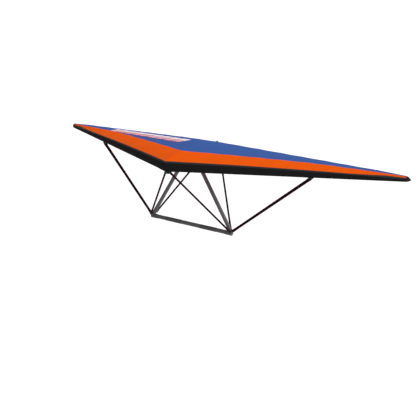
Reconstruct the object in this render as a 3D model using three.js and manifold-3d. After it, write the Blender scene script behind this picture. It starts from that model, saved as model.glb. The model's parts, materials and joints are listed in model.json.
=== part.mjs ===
// Flex-wing hang glider, standing parked with its nose up on the base bar and the wing tips.
// Everything is drawn in the rig frame (millimetres): nose at the origin, X across the span with
// the pilot's left at +X, Y aft along the keel and Z up in level flight. The last section pitches
// the rig to its parked attitude and sets the origin on the floor under the middle of the glider.
import * as THREE from "three";
import { mergeVertices } from "three/addons/utils/BufferGeometryUtils.js";
import Module from "manifold-3d";

const wasm = await Module();
wasm.setup();

// ---------- driving dimensions ----------
const halfSpan = 4000;
const sweepSlope = 0.506;         // aft run of the leading edge for each mm of span
const topDroop = 0.0745;          // fall of the leading edge's upper seam for each mm of span
const topBow = 26;                // how far that seam bows up at half the semi-span
const noseDepth = 200;            // depth of the leading edge at the nose
const bottomDroop = 0.0393;       // fall of the leading edge's underside
const rootChord = 1598;
const rootScallop = 22;           // how much shorter the chord is on the centreline
const scallopWidth = 500;
const trailSlope = 0.099;         // aft run of the trailing edge
const trailDroop = 0.0565;        // fall of the trailing edge
const tipDroop = 14;              // extra fall of the trailing edge close to the tip
const tipDroopStart = 3400;
const trailThickness = 6;
const camberRatio = 0.0258;       // height of the upper surface over its chord line
const colourSeamRoot = 598;       // where the front panel meets the rear panel at the root
const colourSeamSlope = 0.41;
const colourSeamBend = 0.115;     // loss of slope past colourSeamStraight, eased in softly
const colourSeamStraight = 2300;
const colourSeamEase = 200;
const colourSeamLimit = 0.78;     // share of the chord that the seam never passes
const capLength = 60;             // tip cap
const gap = 0.3;                  // air between neighbouring pieces

const keelRadius = 24;
const keelWall = 2.5;
const keelStart = new THREE.Vector3(0, 30, -230.5);
const keelEnd = new THREE.Vector3(0, 2015, -147);

const pivot = new THREE.Vector3(0, 918, -242);      // axle that the control frame folds on
const axleRadius = 8;
const cornerX = 950;
const cornerY = 870;
const cornerZ = -1612;
const apexZ = 9;                  // where the axes of the two uprights would meet
const apexY = 926;
const uprightChord = 82;
const uprightThickness = 78;
const barChord = 86;
const barThickness = 84;
const socketLength = 95;          // upright socket of a corner bracket, from the corner point
const sleeveInner = 805;          // corner bracket's sleeve on the base bar, from the centreline
const sleeveOuter = 968;

const stayRadius = 13.5;
const sideStayChord = 54;
const sideStayThickness = 50;
const sideStayTop = new THREE.Vector3(2387, 1223, -331);

// ---------- materials ----------
const orangeCloth = new THREE.MeshStandardMaterial({ color: "#eb5d14", roughness: 0.75 });
const blueCloth = new THREE.MeshStandardMaterial({ color: "#435e9f", roughness: 0.75 });
const blackCloth = new THREE.MeshStandardMaterial({ color: "#1f1f1f", roughness: 0.7 });
const blackPlastic = new THREE.MeshStandardMaterial({ color: "#1b1b1b", roughness: 0.5 });
const greenTube = new THREE.MeshStandardMaterial({ color: "#016432", roughness: 0.4, metalness: 0.5 });
const paleAlloy = new THREE.MeshStandardMaterial({ color: "#8b8c90", roughness: 0.4, metalness: 0.8 });
const darkAlloy = new THREE.MeshStandardMaterial({ color: "#3e3f42", roughness: 0.45, metalness: 0.6 });
const steel = new THREE.MeshStandardMaterial({ color: "#7d8085", roughness: 0.35, metalness: 0.9 });
const coatedWire = new THREE.MeshStandardMaterial({ color: "#2a1520", roughness: 0.5, metalness: 0.2 });

const rig = new THREE.Group();

function addPiece(name, geometry, material) {
  const mesh = new THREE.Mesh(geometry, material);
  mesh.name = name;
  rig.add(mesh);
  return mesh;
}

// ---------- geometry helpers ----------
function signedVolume(positions, index) {
  const corner = [new THREE.Vector3(), new THREE.Vector3(), new THREE.Vector3()];
  let total = 0;
  for (let i = 0; i < index.length; i += 3) {
    corner.forEach((point, k) => point.fromArray(positions, 3 * index[i + k]));
    total += corner[0].dot(corner[1].cross(corner[2])) / 6;
  }
  return total;
}

function closedGeometry(positions, index) {
  const outward = signedVolume(positions, index) > 0;
  const faces = outward ? index : index.slice().reverse();
  const geometry = new THREE.BufferGeometry();
  geometry.setAttribute("position", new THREE.Float32BufferAttribute(positions, 3));
  geometry.setIndex(faces);
  geometry.computeVertexNormals();
  return geometry;
}

// Skin over outlines of equal point count, each a list of [x, y, z], closed by flat ends.
function loft(outlines) {
  const count = outlines[0].length;
  const positions = outlines.flat(2);
  const index = [];
  for (let row = 0; row < outlines.length - 1; row += 1) {
    for (let i = 0; i < count; i += 1) {
      const a = row * count + i;
      const b = row * count + ((i + 1) % count);
      index.push(a, b, b + count, a, b + count, a + count);
    }
  }
  const last = (outlines.length - 1) * count;
  const endFaces = (outline) => THREE.ShapeUtils.triangulateShape(
    outline.map((point) => new THREE.Vector2(point[1], point[2])), []);
  endFaces(outlines[0]).forEach(([a, b, c]) => index.push(c, b, a));
  endFaces(outlines[outlines.length - 1]).forEach(([a, b, c]) => index.push(last + a, last + b, last + c));
  return closedGeometry(positions, orientEnds(positions, index, outlines, count));
}

// The end triangles must run the same way round as the sides that share their edges.
function orientEnds(positions, index, outlines, count) {
  const sideCount = (outlines.length - 1) * count * 6;
  const sides = index.slice(0, sideCount);
  const ends = index.slice(sideCount);
  const directed = new Set();
  for (let i = 0; i < sides.length; i += 3) {
    directed.add(`${sides[i]}-${sides[i + 1]}`);
    directed.add(`${sides[i + 1]}-${sides[i + 2]}`);
    directed.add(`${sides[i + 2]}-${sides[i]}`);
  }
  const clashes = (a, b) => directed.has(`${a}-${b}`);
  const flipped = [0, 1].map((end) => {
    const own = ends.filter((_, i) => (ends[i - (i % 3)] < count) === (end === 0));
    let same = false;
    for (let i = 0; i < own.length; i += 3) {
      same ||= clashes(own[i], own[i + 1]) || clashes(own[i + 1], own[i + 2]) || clashes(own[i + 2], own[i]);
    }
    return same ? own.reverse() : own;
  });
  return sides.concat(...flipped);
}

function ovalShape(width, height, segments = 32) {
  const points = [];
  for (let i = 0; i < segments; i += 1) {
    const angle = (2 * Math.PI * i) / segments;
    points.push(new THREE.Vector2((width / 2) * Math.cos(angle), (height / 2) * Math.sin(angle)));
  }
  return new THREE.Shape(points);
}

// Straight beam of one section: the shape's x lies along "chord", its length from start to end.
function beam(shape, start, end, chord) {
  const along = end.clone().sub(start);
  const length = along.length();
  along.normalize();
  const wide = chord.clone().addScaledVector(along, -chord.dot(along)).normalize();
  const thick = along.clone().cross(wide);
  const geometry = new THREE.ExtrudeGeometry(shape, { depth: length, bevelEnabled: false });
  geometry.applyMatrix4(new THREE.Matrix4().makeBasis(wide, thick, along));
  geometry.translate(start.x, start.y, start.z);
  return geometry;
}

function turned(profile, start, end, segments = 24) {
  const along = end.clone().sub(start).normalize();
  const geometry = new THREE.LatheGeometry(profile.map(([r, h]) => new THREE.Vector2(r, h)), segments);
  geometry.applyQuaternion(new THREE.Quaternion().setFromUnitVectors(new THREE.Vector3(0, 1, 0), along));
  geometry.translate(start.x, start.y, start.z);
  return geometry;
}

function rod(start, end, radius, segments = 12) {
  const length = end.distanceTo(start);
  return turned([[0, 0], [radius, 0], [radius, length], [0, length]], start, end, segments);
}

function toManifold(geometry) {
  const bare = new THREE.BufferGeometry();
  bare.setAttribute("position", geometry.getAttribute("position").clone());
  if (geometry.index) bare.setIndex(geometry.index.clone());
  const merged = mergeVertices(bare, 1e-3);
  const whole = [];
  const faces = merged.index.array;
  for (let i = 0; i < faces.length; i += 3) {
    const [a, b, c] = [faces[i], faces[i + 1], faces[i + 2]];
    if (a !== b && b !== c && c !== a) whole.push(a, b, c);
  }
  const vertProperties = Float32Array.from(merged.getAttribute("position").array);
  return new wasm.Manifold(new wasm.Mesh({ numProp: 3, vertProperties, triVerts: Uint32Array.from(whole) }));
}

function fromManifold(solid) {
  const mesh = solid.getMesh();
  const geometry = new THREE.BufferGeometry();
  geometry.setAttribute("position", new THREE.Float32BufferAttribute(mesh.vertProperties, 3));
  geometry.setIndex(Array.from(mesh.triVerts));
  geometry.computeVertexNormals();
  return geometry;
}

const joined = (...pieces) => pieces.map(toManifold).reduce((a, b) => a.add(b));
const sideName = (side) => (side > 0 ? "left" : "right");
const mirrored = (point, side) => new THREE.Vector3(side * point.x, point.y, point.z);

// ---------- wing surfaces ----------
const stations = [0.15, 250, 500, 900, 1300, 1700, 2100, 2500, 2900, 3250, 3500, 3700, 3850, 3900,
  halfSpan - capLength];

function smoothStep(value) {
  const t = Math.min(1, Math.max(0, value));
  return t * t * (3 - 2 * t);
}

const leadY = (x) => sweepSlope * x;
const leadTopZ = (x) => -topDroop * x + topBow * 4 * (x / halfSpan) * (1 - x / halfSpan);
const leadBottomZ = (x) => -noseDepth - bottomDroop * x;
const leadDepth = (x) => leadTopZ(x) - leadBottomZ(x);
const trailY = (x) => rootChord + rootScallop * smoothStep(x / scallopWidth) + trailSlope * x;

function trailZ(x) {
  const nearTip = smoothStep((x - tipDroopStart) / (halfSpan - tipDroopStart));
  return -trailThickness - trailDroop * x - tipDroop * nearTip;
}

function colourSeamY(x) {
  const from = x - colourSeamStraight;
  const past = (from + Math.hypot(from, colourSeamEase)) / 2;
  const free = colourSeamRoot + colourSeamSlope * x - colourSeamBend * past;
  return Math.min(free, leadY(x) + colourSeamLimit * (trailY(x) - leadY(x)));
}

// Upper surface between the leading edge's seam and the trailing edge.
function topZ(x, y) {
  const chord = trailY(x) - leadY(x);
  const t = (y - leadY(x)) / chord;
  const line = leadTopZ(x) + (trailZ(x) - leadTopZ(x)) * t;
  return line + camberRatio * chord * 4 * t * (1 - t);
}

const lowerSeamY = (x) => leadY(x) + leadDepth(x) * (0.08 + 0.42 * smoothStep((halfSpan - x) / 1300));
const lowerSeamZ = (x) => leadBottomZ(x) + 0.02 * leadDepth(x);

// Underside between the leading edge's lower seam and the trailing edge.
function bottomZ(x, y) {
  const t = (y - lowerSeamY(x)) / (trailY(x) - lowerSeamY(x));
  return lowerSeamZ(x) + (trailZ(x) - trailThickness - lowerSeamZ(x)) * t;
}

// Black cloth wrapped round the leading edge, from the upper seam forward and under.
function leadOutline(x) {
  const depth = leadDepth(x);
  const middle = (leadTopZ(x) + leadBottomZ(x)) / 2;
  const points = [];
  for (let i = 0; i <= 10; i += 1) {
    const angle = (Math.PI * i) / 10;
    const y = leadY(x) - 0.17 * depth * Math.sin(angle) + 0.06 * depth * (i / 10);
    points.push([x, y, middle + (depth / 2) * Math.cos(angle)]);
  }
  points.push([x, lowerSeamY(x), lowerSeamZ(x)]);
  return points;
}

function panelOutline(x, frontTop, frontBottom, rear, steps) {
  const points = [];
  for (let i = 0; i <= steps; i += 1) {
    const y = frontTop + ((rear - frontTop) * i) / steps;
    points.push([x, y, topZ(x, y)]);
  }
  points.push([x, rear, bottomZ(x, rear)], [x, frontBottom, bottomZ(x, frontBottom)]);
  return points;
}

const frontPanelOutline = (x) => panelOutline(
  x, leadY(x) + gap, lowerSeamY(x) + gap, colourSeamY(x) - gap / 2, 6);
const rearPanelOutline = (x) => panelOutline(
  x, colourSeamY(x) + gap / 2, colourSeamY(x) + gap / 2, trailY(x), 8);

// Whole section of the wing, shrunk towards the tip point for the rounded end cap.
function capOutline(x, share) {
  const root = halfSpan - capLength;
  const outline = leadOutline(root).slice(0, -1);
  outline.push([root, trailY(root), trailZ(root) - trailThickness], [root, trailY(root), trailZ(root)]);
  const tip = [x, leadY(halfSpan), leadTopZ(halfSpan) - 0.65 * leadDepth(halfSpan)];
  return outline.map(([, y, z]) => [x, tip[1] + (y - tip[1]) * share, tip[2] + (z - tip[2]) * share]);
}

const mirrorOutline = (outline, side) => outline.map(([x, y, z]) => [side * x, y, z]);

function addWingHalf(side) {
  const across = (section) => stations.map((x) => mirrorOutline(section(x), side));
  addPiece(`${sideName(side)}_leading_edge`, loft(across(leadOutline)), blackCloth);
  addPiece(`${sideName(side)}_front_panel`, loft(across(frontPanelOutline)), orangeCloth);
  addPiece(`${sideName(side)}_rear_panel`, loft(across(rearPanelOutline)), blueCloth);
  const root = halfSpan - capLength + gap;
  const shares = [0, 0.35, 0.65, 0.85, 0.97, 1];
  const caps = shares.map((t) => mirrorOutline(
    capOutline(root + (capLength - gap) * t, Math.sqrt(1 - 0.985 * t * t)), side));
  addPiece(`${sideName(side)}_tip_cap`, loft(caps), blackPlastic);
}

// ---------- keel ----------
const keelDirection = keelEnd.clone().sub(keelStart).normalize();
const keelLength = keelEnd.distanceTo(keelStart);
const keelPoint = (y) => keelStart.clone()
  .addScaledVector(keelDirection, (y - keelStart.y) / keelDirection.y);
const plugRadius = keelRadius - keelWall - gap;
const capThickness = 8;
const plugDepth = 30;

function addKeel() {
  const inner = keelRadius - keelWall;
  const ring = [[inner, 0], [keelRadius, 0], [keelRadius, keelLength], [inner, keelLength], [inner, 0]];
  addPiece("keel_tube", turned(ring, keelStart, keelEnd), greenTube);
  const plug = [[0, 0], [keelRadius - 1, 0], [keelRadius, 1], [keelRadius, capThickness],
    [plugRadius, capThickness], [plugRadius, capThickness + plugDepth], [0, capThickness + plugDepth]];
  const front = keelStart.clone().addScaledVector(keelDirection, -capThickness - gap);
  addPiece("keel_front_cap", turned(plug, front, keelEnd), greenTube);
  const rear = keelEnd.clone().addScaledVector(keelDirection, capThickness + gap);
  addPiece("keel_rear_cap", turned(plug, rear, keelStart), greenTube);
}

// Bent plate that ties the two leading edges to the keel, under the nose.
function addNosePlate() {
  const [halfWidth, thickness, droop] = [80, 5, 0.085 * 80];
  const top = keelRadius + gap + thickness;
  const shape = new THREE.Shape([
    new THREE.Vector2(0, top), new THREE.Vector2(-halfWidth, top - droop),
    new THREE.Vector2(-halfWidth, top - droop - thickness), new THREE.Vector2(0, top - thickness),
    new THREE.Vector2(halfWidth, top - droop - thickness), new THREE.Vector2(halfWidth, top - droop)]);
  const [front, rear] = [keelStart.y + 75, keelStart.y + 250].map(keelPoint);
  addPiece("nose_plate", beam(shape, front, rear, new THREE.Vector3(-1, 0, 0)), steel);
}

// Channel that hugs the keel from below; the stays hook to its two cheeks.
function keelChannel(y, length) {
  const [inner, outer] = [keelRadius + gap, keelRadius + 6];
  const shape = new THREE.Shape();
  shape.moveTo(inner, 8);
  shape.lineTo(outer, 8);
  shape.lineTo(outer, -outer);
  shape.lineTo(-outer, -outer);
  shape.lineTo(-outer, 8);
  shape.lineTo(-inner, 8);
  shape.lineTo(-inner, 0);
  shape.absarc(0, 0, inner, Math.PI, 2 * Math.PI, false);
  const start = keelPoint(y);
  return beam(shape, start, keelPoint(y + length), new THREE.Vector3(-1, 0, 0));
}

// Cloth sleeve that hangs the keel from the sail behind the control frame.
function addKeelPocket() {
  const [front, rear, thickness] = [1120, 1540, 8];
  const keelTop = (y) => keelPoint(y).z + keelRadius + 2 * gap;
  const corner = (y, z) => [[-thickness / 2, y, z], [thickness / 2, y, z]];
  const outline = [corner(front, keelTop(front)), corner(rear, keelTop(rear)),
    corner(rear, bottomZ(0, rear) - 2 * gap), corner(front, bottomZ(0, front) - 2 * gap)];
  const ends = [0, 1].map((k) => outline.map((pair) => pair[k]));
  addPiece("keel_pocket", loft(ends), blueCloth);
}

// ---------- control frame ----------
const cornerPoint = new THREE.Vector3(cornerX, cornerY, cornerZ);
const uprightDirection = new THREE.Vector3(0, apexY, apexZ).sub(cornerPoint).normalize();
const alongUpright = (distance) => cornerPoint.clone().addScaledVector(uprightDirection, distance);
const pivotDistance = (pivot.z - cornerZ) / uprightDirection.z;
const knuckleX = alongUpright(pivotDistance).x;
const uprightTop = pivotDistance - 74;
const aft = new THREE.Vector3(0, 1, 0);

function addApex() {
  const block = new THREE.Shape([
    new THREE.Vector2(-42, -30), new THREE.Vector2(42, -30), new THREE.Vector2(42, 50),
    new THREE.Vector2(30, 62), new THREE.Vector2(-30, 62), new THREE.Vector2(-42, 50)]);
  block.holes.push(new THREE.Path().absarc(0, 0, axleRadius + gap, 0, 2 * Math.PI, false));
  const halfWidth = 44;
  const body = new THREE.ExtrudeGeometry(block, { depth: 2 * halfWidth, bevelEnabled: false });
  const [up, across] = [new THREE.Vector3(0, 0, 1), new THREE.Vector3(1, 0, 0)];
  body.applyMatrix4(new THREE.Matrix4().makeBasis(aft, up, across));
  body.translate(-halfWidth, pivot.y, pivot.z);
  const keelSpace = rod(keelPoint(pivot.y - 200), keelPoint(pivot.y + 200), keelRadius + gap, 24);
  const bracket = toManifold(body).subtract(toManifold(keelSpace));
  addPiece("apex_bracket", fromManifold(bracket), darkAlloy);
  const reach = knuckleX + 58;
  const head = 14;
  const profile = [[0, -10], [head, -10], [head, 0], [axleRadius, 0], [axleRadius, 2 * reach],
    [head, 2 * reach], [head, 2 * reach + 10], [0, 2 * reach + 10]];
  const start = pivot.clone().setX(-reach);
  addPiece("apex_axle", turned(profile, start, pivot, 16), steel);
}

// Eye on the axle with a plug that carries the top of an upright.
function addKnuckle(side) {
  const halfWidth = 28;
  const centre = pivot.clone().setX(side * knuckleX);
  const offset = new THREE.Vector3(halfWidth, 0, 0);
  const eye = rod(centre.clone().sub(offset), centre.clone().add(offset), 30, 32);
  const foot = mirrored(alongUpright(uprightTop + gap), side);
  const plug = beam(ovalShape(70, 66), foot, mirrored(alongUpright(pivotDistance), side), aft);
  const bore = rod(centre.clone().addScaledVector(offset, -3), centre.clone().addScaledVector(offset, 3),
    axleRadius + gap, 16);
  const knuckle = joined(eye, plug).subtract(toManifold(bore));
  addPiece(`${sideName(side)}_knuckle`, fromManifold(knuckle), darkAlloy);
}

function addUpright(side) {
  const [foot, top] = [socketLength + gap, uprightTop].map((d) => mirrored(alongUpright(d), side));
  const tube = beam(ovalShape(uprightChord, uprightThickness), foot, top, aft);
  addPiece(`${sideName(side)}_upright`, tube, paleAlloy);
}

function addCornerBracket(side) {
  const at = (x) => new THREE.Vector3(side * x, cornerY, cornerZ);
  const sleeve = beam(ovalShape(barChord + 10, barThickness + 10), at(sleeveInner), at(sleeveOuter), aft);
  const socket = beam(ovalShape(uprightChord + 10, uprightThickness + 10),
    mirrored(alongUpright(6), side), mirrored(alongUpright(socketLength), side), aft);
  addPiece(`${sideName(side)}_corner_bracket`, fromManifold(joined(sleeve, socket)), darkAlloy);
}

function addBaseBar() {
  const reach = sleeveInner - gap;
  const [right, left] = [-reach, reach].map((x) => new THREE.Vector3(x, cornerY, cornerZ));
  addPiece("base_bar", beam(ovalShape(barChord, barThickness), right, left, aft), darkAlloy);
}

// ---------- stays ----------
function addFrontStay(side) {
  const top = new THREE.Vector3(side * (keelRadius + 34), keelStart.y + 45, keelStart.z + 2);
  const foot = new THREE.Vector3(side * 975, cornerY - 66, cornerZ + 54);
  addPiece(`${sideName(side)}_front_stay`, rod(top, foot, stayRadius), coatedWire);
}

function addRearStay(side) {
  const top = new THREE.Vector3(side * (keelRadius + 20), keelEnd.y - 40, keelEnd.z - 2);
  const foot = new THREE.Vector3(side * 818, cornerY + 30, cornerZ + 70);
  addPiece(`${sideName(side)}_rear_stay`, rod(top, foot, stayRadius), coatedWire);
}

function addSideStay(side) {
  const top = mirrored(sideStayTop, side);
  const foot = new THREE.Vector3(side * (sleeveOuter + 22), cornerY, cornerZ + 62);
  const stay = beam(ovalShape(sideStayChord, sideStayThickness, 16), foot, top, aft);
  addPiece(`${sideName(side)}_side_stay`, stay, coatedWire);
}

// Plate bolted through the leading edge's underside for a side stay.
function addSideTang(side) {
  const x = sideStayTop.x;
  const under = leadBottomZ(x) - 2 * gap;
  const [halfLength, thickness] = [50, 8];
  const outline = (y) => [
    [side * (x - halfLength), y, under + bottomDroop * halfLength - 1],
    [side * (x + halfLength), y, under - bottomDroop * halfLength - 1],
    [side * (x + halfLength), y, under - bottomDroop * halfLength - thickness],
    [side * (x - halfLength), y, under + bottomDroop * halfLength - thickness]];
  const ends = [sideStayTop.y - 30, sideStayTop.y + 22].map(outline);
  const positions = ends.flat(2);
  const index = [];
  for (let i = 0; i < 4; i += 1) {
    const j = (i + 1) % 4;
    index.push(i, j, j + 4, i, j + 4, i + 4);
  }
  index.push(2, 1, 0, 3, 2, 0, 4, 5, 6, 4, 6, 7);
  addPiece(`${sideName(side)}_side_tang`, closedGeometry(positions, index), steel);
}

addKeel();
addNosePlate();
addPiece("nose_catch", keelChannel(keelStart.y + 15, 75), steel);
addPiece("rear_stay_bracket", keelChannel(keelEnd.y - 85, 75), steel);
addKeelPocket();
addApex();
addBaseBar();
for (const side of [1, -1]) {
  addWingHalf(side);
  addKnuckle(side);
  addUpright(side);
  addCornerBracket(side);
  addFrontStay(side);
  addRearStay(side);
  addSideStay(side);
  addSideTang(side);
}

// ---------- parked attitude ----------
// Lowest height of the named pieces once the rig is pitched nose-up by the angle.
function lowest(names, angle) {
  const [sine, cosine] = [Math.sin(angle), Math.cos(angle)];
  const heights = rig.children.filter((mesh) => names.includes(mesh.name)).flatMap((mesh) => {
    const points = mesh.geometry.getAttribute("position");
    return Array.from({ length: points.count }, (_, i) => points.getZ(i) * cosine - points.getY(i) * sine);
  });
  return Math.min(...heights);
}

const frameFeet = ["left_corner_bracket", "base_bar"];
const wingTips = ["left_tip_cap", "left_leading_edge"];
let [low, high] = [0.5, 1.2];
for (let i = 0; i < 40; i += 1) {
  const middle = (low + high) / 2;
  if (lowest(frameFeet, middle) < lowest(wingTips, middle)) low = middle;
  else high = middle;
}
rig.rotation.x = -(low + high) / 2;

const glider = new THREE.Group();
glider.add(rig);
glider.updateMatrixWorld(true);
const box = new THREE.Box3().setFromObject(glider, true);
rig.position.set(0, -(box.min.y + box.max.y) / 2, -box.min.z);

export default glider;
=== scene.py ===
# %% [markdown]
# # A flex-wing hang glider, parked nose-up
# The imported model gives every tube, bracket and joint. This notebook puts the sail, the wires and
# the finishes around it. Each step says what the real piece is, how it could be made in Blender and
# why this way was chosen.

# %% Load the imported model
import json
import math

import bmesh
import bpy
import numpy as np
from mathutils import Matrix, Vector


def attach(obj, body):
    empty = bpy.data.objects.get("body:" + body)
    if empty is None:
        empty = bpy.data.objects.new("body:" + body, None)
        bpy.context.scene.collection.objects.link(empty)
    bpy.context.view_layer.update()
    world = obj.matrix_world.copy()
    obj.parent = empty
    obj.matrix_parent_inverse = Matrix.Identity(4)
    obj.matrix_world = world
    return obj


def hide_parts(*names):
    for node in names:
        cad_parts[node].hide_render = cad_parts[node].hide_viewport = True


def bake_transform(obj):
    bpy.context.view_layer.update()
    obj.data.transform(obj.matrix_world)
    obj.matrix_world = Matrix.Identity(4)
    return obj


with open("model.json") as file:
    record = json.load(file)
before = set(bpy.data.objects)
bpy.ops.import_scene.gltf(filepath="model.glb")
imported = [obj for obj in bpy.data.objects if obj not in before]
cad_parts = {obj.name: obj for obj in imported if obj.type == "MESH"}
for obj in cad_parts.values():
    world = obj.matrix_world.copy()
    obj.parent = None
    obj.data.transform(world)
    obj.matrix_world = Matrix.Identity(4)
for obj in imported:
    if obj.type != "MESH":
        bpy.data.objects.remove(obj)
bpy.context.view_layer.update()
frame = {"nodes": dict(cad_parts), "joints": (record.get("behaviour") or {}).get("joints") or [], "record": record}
print("CAD nodes:", len(frame["nodes"]))

# %% [markdown]
# ## The rig frame
# A glider is easiest to draw in level flight: X runs along the span to the pilot's left, Y runs aft
# and Z is up, with the nose at zero. The parked glider is that rig pitched nose-up about X. The
# pitch is found by comparing the keel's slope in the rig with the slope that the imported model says,
# and the fold axle then fixes the place.

# %% Dimensions in metres, in the rig frame
HALF_SPAN = 4.0
SWEEP = 0.506
TOP_DROOP = 0.0745
TOP_BOW = 0.026
NOSE_DEPTH = 0.200
BOTTOM_DROOP = 0.0393
ROOT_CHORD = 1.598
ROOT_SCALLOP = 0.022
SCALLOP_WIDTH = 0.5
TRAIL_SLOPE = 0.099
TRAIL_DROOP = 0.0565
TIP_DROOP = 0.014
TIP_DROOP_START = 3.4
CAMBER = 0.0258
SEAM_ROOT = 0.598
SEAM_SLOPE = 0.41
SEAM_BEND = 0.115
SEAM_STRAIGHT = 2.3
SEAM_EASE = 0.2
SEAM_LIMIT = 0.78
CAP_LENGTH = 0.060
GAP = 0.0003

KEEL_RADIUS = 0.024
KEEL_START = np.array([0, 0.030, -0.2305])
KEEL_END = np.array([0, 2.015, -0.147])
KEEL_DIRECTION = (KEEL_END - KEEL_START) / np.linalg.norm(KEEL_END - KEEL_START)
PIVOT = np.array([0, 0.918, -0.242])
CORNER = np.array([0.950, 0.870, -1.612])
APEX = np.array([0, 0.926, 0.009])
SLEEVE_INNER = 0.805
SLEEVE_OUTER = 0.968

AFT = np.array([0.0, 1.0, 0.0])
SIDES = {"left": 1, "right": -1}


def parked_pitch():
    """Angle from the keel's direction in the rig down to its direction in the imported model."""
    mounts = {mount["name"]: mount for mount in frame["record"]["mounts"]}
    tail = mounts["keel_tail"]["axis"]
    return math.atan2(KEEL_DIRECTION[2], KEEL_DIRECTION[1]) - math.atan2(tail[2], tail[1])


PITCH = parked_pitch()
TURN = np.array([[1, 0, 0],
                 [0, math.cos(PITCH), math.sin(PITCH)],
                 [0, -math.sin(PITCH), math.cos(PITCH)]])
SHIFT = np.array(frame["joints"][0]["pos_m"]) - TURN @ PIVOT


def park(points):
    """Rig points to parked points: each row times the pitch matrix, plus the shift."""
    return np.asarray(points, float) @ TURN.T + SHIFT


print("parked pitch in degrees:", round(math.degrees(PITCH), 3))

# %% [markdown]
# ## Camera
# The camera looks at the glider as if it were in level flight, from ahead, above and to the left of
# the nose. The same pitch turns the camera with the glider. It comes first, so that every later
# piece can be judged through it.

# %% Camera
CAMERA_PLACE = np.array([5.6707, -8.5179, 3.3827])
CAMERA_AZIMUTH = math.radians(29.05)
CAMERA_ELEVATION = math.radians(23.13)
CAMERA_ROLL = math.radians(-0.166)
LENS_MM = 49.97
SENSOR_MM = 36.0


def add_camera():
    """Axes from the two angles: back points from the glider to the lens, right is level in the rig
    and up is back crossed with right; the roll turns right and up about back."""
    a, e = CAMERA_AZIMUTH, CAMERA_ELEVATION
    back = np.array([math.sin(a) * math.cos(e), -math.cos(a) * math.cos(e), math.sin(e)])
    level = np.array([math.cos(a), math.sin(a), 0.0])
    upright = np.cross(back, level)
    right = math.cos(CAMERA_ROLL) * level + math.sin(CAMERA_ROLL) * upright
    up = -math.sin(CAMERA_ROLL) * level + math.cos(CAMERA_ROLL) * upright
    axes = TURN @ np.stack([right, up, back], axis=1)
    matrix = np.eye(4)
    matrix[:3, :3] = axes
    matrix[:3, 3] = park(CAMERA_PLACE)
    data = bpy.data.cameras.new("camera")
    data.lens = LENS_MM
    data.sensor_width = SENSOR_MM
    data.clip_end = 200
    camera = bpy.data.objects.new("camera", data)
    bpy.context.scene.collection.objects.link(camera)
    camera.matrix_world = Matrix(matrix.tolist())
    bpy.context.scene.camera = camera
    return camera


camera = add_camera()
print("camera height above the floor:", round(camera.matrix_world.translation.z, 2))

# %% [markdown]
# ## Meshes from arrays
# Every new piece is a skin: outlines of equal point count, one after another, each a closed loop.
# numpy works out all the points at once, and the faces follow from the row and column numbers.

# %% Mesh helpers
pieces_made = []


def skin_faces(rows, columns):
    """Quads of a tube grid: corner (r, c), its neighbours round the loop and in the next row."""
    r = np.arange(rows - 1)[:, None]
    c = np.arange(columns)[None, :]
    n = (c + 1) % columns
    quads = np.stack(np.broadcast_arrays(r * columns + c, r * columns + n,
                                         (r + 1) * columns + n, (r + 1) * columns + c), axis=-1)
    return quads.reshape(-1, 4)


def add_mesh(name, points, faces, body, material, uv=None, values=None, sharp=40.0):
    """One piece from parked points. uv is a pair for each vertex and values are named floats."""
    mesh = bpy.data.meshes.new(name)
    mesh.from_pydata(points.tolist(), [], [list(map(int, face)) for face in faces])
    loops = np.zeros(len(mesh.loops), np.int32)
    mesh.loops.foreach_get("vertex_index", loops)
    if uv is not None:
        layer = mesh.uv_layers.new(name="UVMap")
        layer.data.foreach_set("uv", np.asarray(uv, np.float32)[loops].ravel())
    for key, numbers in (values or {}).items():
        attribute = mesh.attributes.new(key, "FLOAT", "POINT")
        attribute.data.foreach_set("value", np.asarray(numbers, np.float32).ravel())
    mesh.shade_smooth()
    mesh.set_sharp_from_angle(angle=math.radians(sharp))
    mesh.materials.append(material)
    piece = bpy.data.objects.new(name, mesh)
    bpy.context.scene.collection.objects.link(piece)
    if body:
        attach(piece, body)
    pieces_made.append(name)
    return piece


def shell(outlines):
    """Points and faces of one closed skin with a flat face at each end, turned to point out."""
    outlines = np.asarray(outlines, float)
    rows, columns = outlines.shape[:2]
    points = outlines.reshape(-1, 3)
    quads = skin_faces(rows, columns)
    a, b, c, d = (points[quads[:, k]] for k in range(4))
    middle = points.mean(axis=0)
    volume = (np.einsum("ij,ij->i", a - middle, np.cross(b - middle, c - middle)).sum()
              + np.einsum("ij,ij->i", a - middle, np.cross(c - middle, d - middle)).sum())
    start = np.arange(columns)[::-1]
    end = np.arange(columns) + (rows - 1) * columns
    faces = [list(quad) for quad in quads] + [list(start), list(end)]
    if volume < 0:
        faces = [face[::-1] for face in faces]
    return points, faces


def joined_shells(parts):
    """Several closed skins as one list of points and faces, each kept whole."""
    points, faces, base = [], [], 0
    for part_points, part_faces in parts:
        points.append(part_points)
        faces += [[base + i for i in face] for face in part_faces]
        base += len(part_points)
    return np.concatenate(points), faces


def mirror_x(points, side):
    return np.asarray(points, float) * np.array([side, 1, 1])

# %% [markdown]
# ## Materials
# A finish is a small node tree that starts from what the real thing is. Colours are written as
# sRGB hex, the way a maker's card gives them, and one function turns them to the linear values that
# the shader works in. One function adds any node, sets its properties and links its inputs.

# %% Colour and node helpers
def linear(code):
    """sRGB to linear: v/12.92 in the dark end, otherwise ((v + 0.055)/1.055) to the power 2.4."""
    v = np.array([int(code[i:i + 2], 16) for i in (1, 3, 5)]) / 255
    rgb = np.where(v <= 0.04045, v / 12.92, ((v + 0.055) / 1.055) ** 2.4)
    return (*rgb.tolist(), 1.0)


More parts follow.
